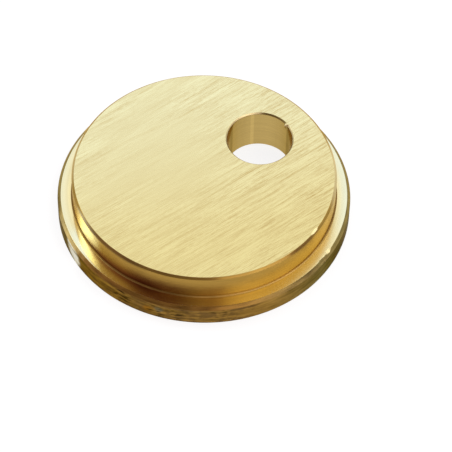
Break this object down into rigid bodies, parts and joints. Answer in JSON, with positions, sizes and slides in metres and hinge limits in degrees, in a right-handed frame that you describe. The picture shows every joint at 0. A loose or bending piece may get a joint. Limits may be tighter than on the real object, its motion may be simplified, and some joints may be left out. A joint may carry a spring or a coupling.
{
  "type": "pasta extrusion die",
  "caption": "Round brass pasta extruder die with a seat flange, a raised brushed spigot on the outlet side and a plain off-centre bore that presses dough into thick ropes for gnocchi.",
  "frame": {"origin": "centre of the flange's seat face, at the bottom of the die's own axis", "axes": "+Z along the die's axis, from the seat face (inlet) to the brushed face (outlet); +X from the die's axis towards the bore"},
  "size_m": [0.057, 0.057, 0.01],
  "materials": {
    "brass": "brushed outlet face, turned sides"
  },
  "bodies": {
    "root": {"die_plate": "brass"}
  },
  "joints": []
}
